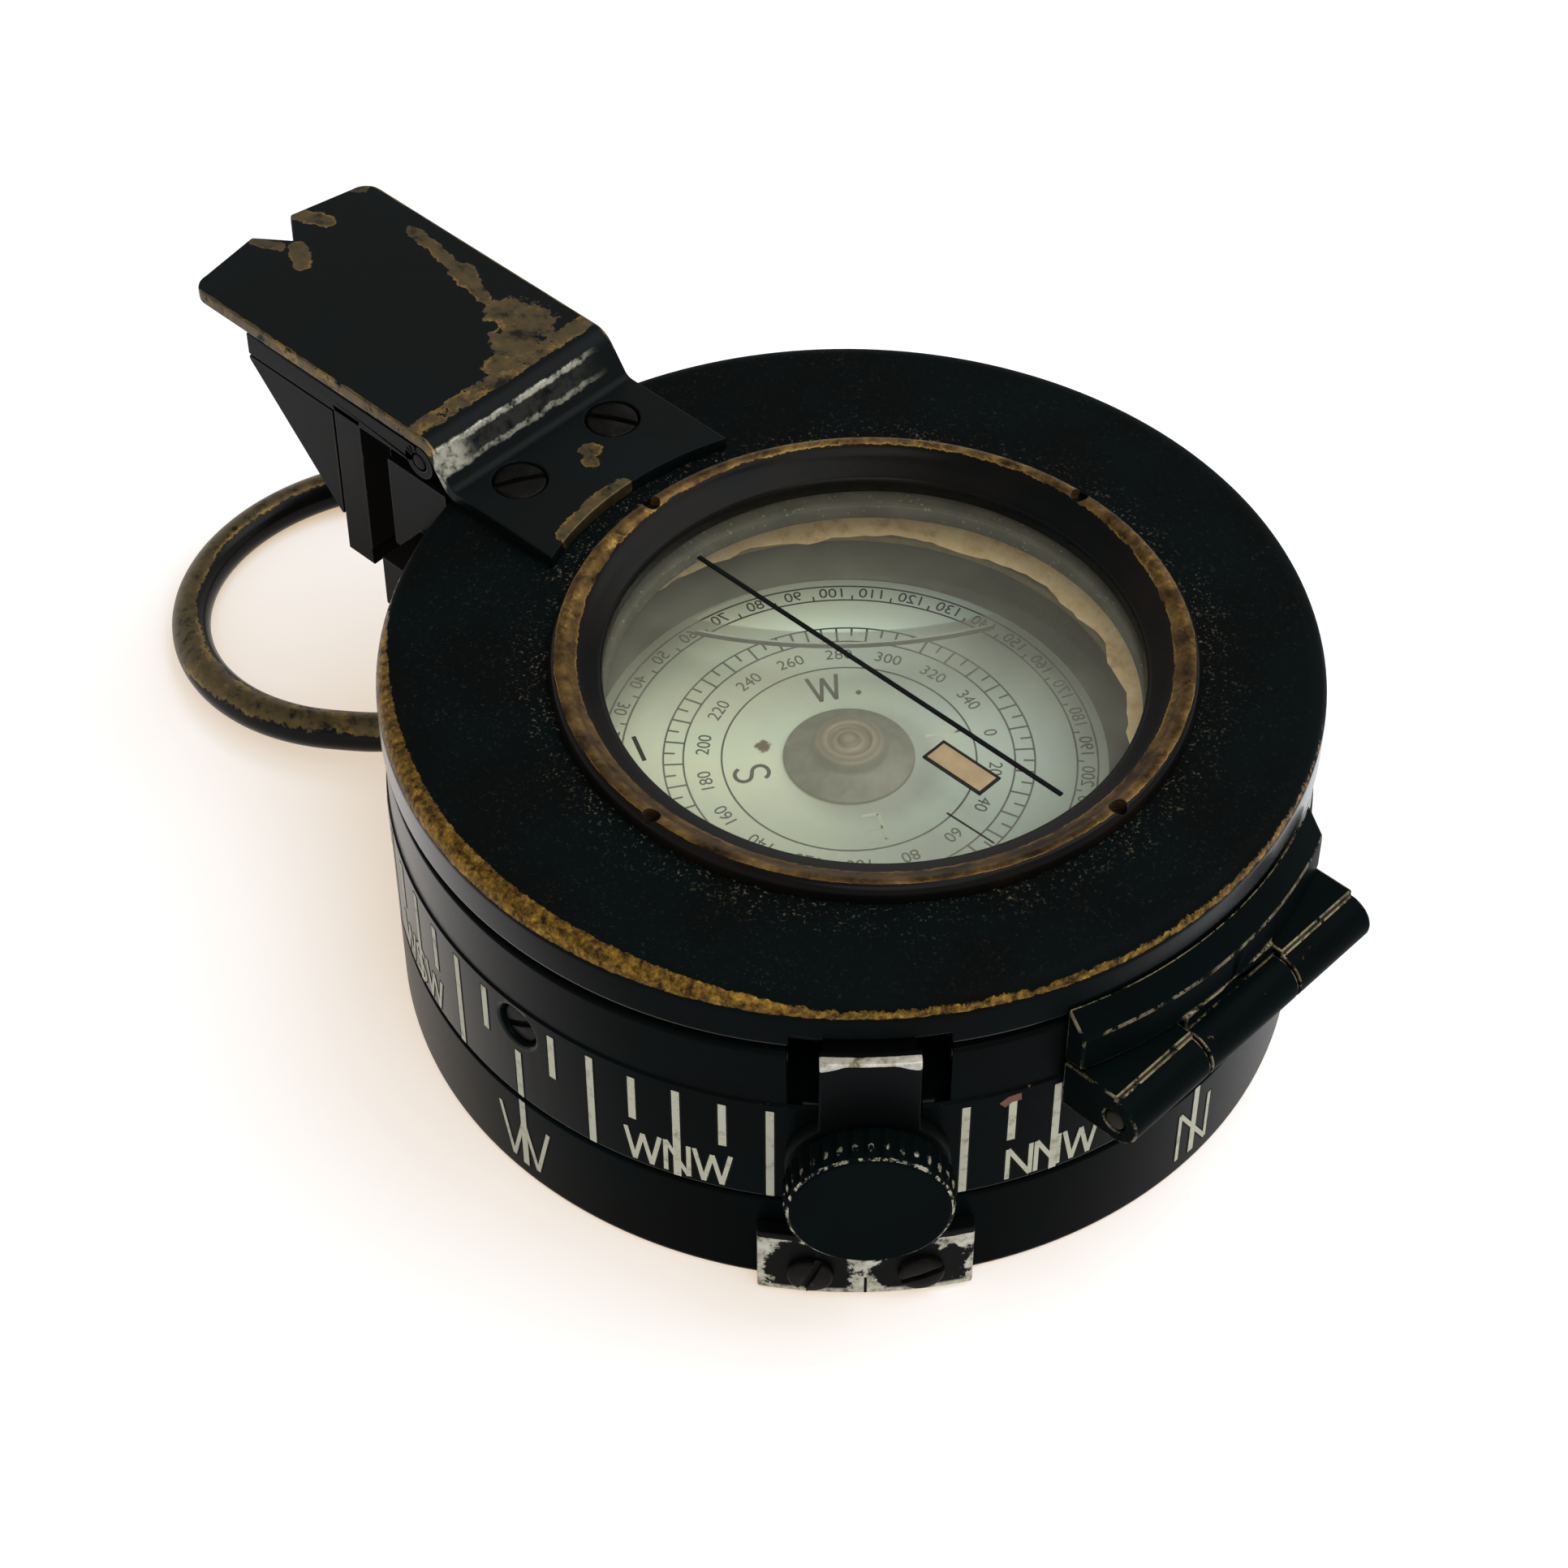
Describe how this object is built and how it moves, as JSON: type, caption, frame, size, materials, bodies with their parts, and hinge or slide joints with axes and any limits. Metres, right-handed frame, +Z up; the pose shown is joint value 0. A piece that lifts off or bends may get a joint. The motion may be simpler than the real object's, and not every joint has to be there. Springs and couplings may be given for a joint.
{
  "type": "prismatic marching compass",
  "caption": "Round liquid-filled hand compass with a windowed lid, folding sight prism, thumb ring, turning direction ring and clamp screw, in worn black-painted brass.",
  "frame": {"origin": "middle of the underside of the base, which rests on the table", "axes": "+Z up through the dial, +X towards the lid's hinge, so the prism, the lid's tongue and the thumb ring are at -X and the hairline lies along X"},
  "size_m": [0.0935, 0.06, 0.0302],
  "materials": {
    "black_paint": "black paint over brass, worn to bare brass on edges",
    "brass": "turned",
    "nickel": "worn plating with scraps of pale paint",
    "steel": "dull slotted screws",
    "rubber": "matt",
    "seal": "aged tan sealing ring",
    "card": "printed card",
    "grey_paint": "satin",
    "jewel": "polished",
    "luminous": "aged luminous paint",
    "ink": "matt",
    "glass": "clear"
  },
  "bodies": {
    "case": {"body_shell": "black_paint", "lock_screw_1": "steel", "lock_screw_2": "steel", "base_ring": "black_paint", "base_plate": "black_paint", "base_gasket": "rubber", "bowl": "grey_paint", "filler_plug": "brass", "diaphragm": "brass", "diaphragm_ring": "brass", "bowl_seal": "seal", "bowl_glass": "glass", "bowl_bezel": "brass", "pivot_post": "brass", "hinge_block": "black_paint", "hinge_pin": "brass", "prism_bracket": "black_paint", "prism_pin": "steel", "bracket_screw_1": "steel", "bracket_screw_2": "steel", "thumb_ring_lug": "black_paint", "clamp_plate": "nickel", "clamp_foot_screw_1": "steel", "clamp_foot_screw_2": "steel"},
    "compass_card": {"card": "card", "card_cap": "grey_paint", "card_jewel": "jewel", "card_magnet_1": "steel", "card_magnet_2": "steel"},
    "direction": {"direction_ring": "black_paint", "direction_glass": "glass", "direction_mark": "luminous"},
    "lid": {"lid_ring": "black_paint", "window_ring": "black_paint", "lid_glass": "glass", "hairline": "ink", "lid_tongue": "black_paint", "tongue_screw_1": "steel", "tongue_screw_2": "steel", "lid_hinge_leaf": "black_paint"},
    "prism_carrier": {"prism_arm": "black_paint"},
    "prism_slide": {"prism_housing": "black_paint", "prism_glass": "glass"},
    "ring": {"thumb_ring": "black_paint"},
    "clamp": {"clamp_screw": "black_paint"}
  },
  "joints": [
    {"name": "lid_open", "type": "hinge", "parent": "case", "child": "lid", "pos_m": [0.03195, 0, 0.0164], "axis": [0, 1, 0], "range_deg": [0, 90]},
    {"name": "prism_fold", "type": "hinge", "parent": "case", "child": "prism_carrier", "pos_m": [-0.0315, 0, 0.0276], "axis": [0, 1, 0], "range_deg": [0, 180]},
    {"name": "prism_focus", "type": "slide", "parent": "prism_carrier", "child": "prism_slide", "axis": [0, 0, -1], "range_m": [0, 0.0025]},
    {"name": "thumb_ring_swing", "type": "hinge", "parent": "case", "child": "ring", "pos_m": [-0.03195, 0, 0.0042], "axis": [0, 1, 0], "range_deg": [-80, 45]},
    {"name": "direction_turn", "type": "hinge", "parent": "case", "child": "direction", "pos_m": [0, 0, 0.0213], "axis": [0, 0, 1], "continuous": true},
    {"name": "card_turn", "type": "hinge", "parent": "case", "child": "compass_card", "pos_m": [0, 0, 0.016], "axis": [0, 0, 1], "continuous": true},
    {"name": "clamp_turn", "type": "hinge", "parent": "case", "child": "clamp", "pos_m": [0.0224, -0.0224, 0.0124], "axis": [0.7071, -0.7071, 0], "range_deg": [0, 270]}
  ],
  "couplings": [
    {"joint": "prism_fold", "follows": "lid_open", "ratio": 2}
  ]
}
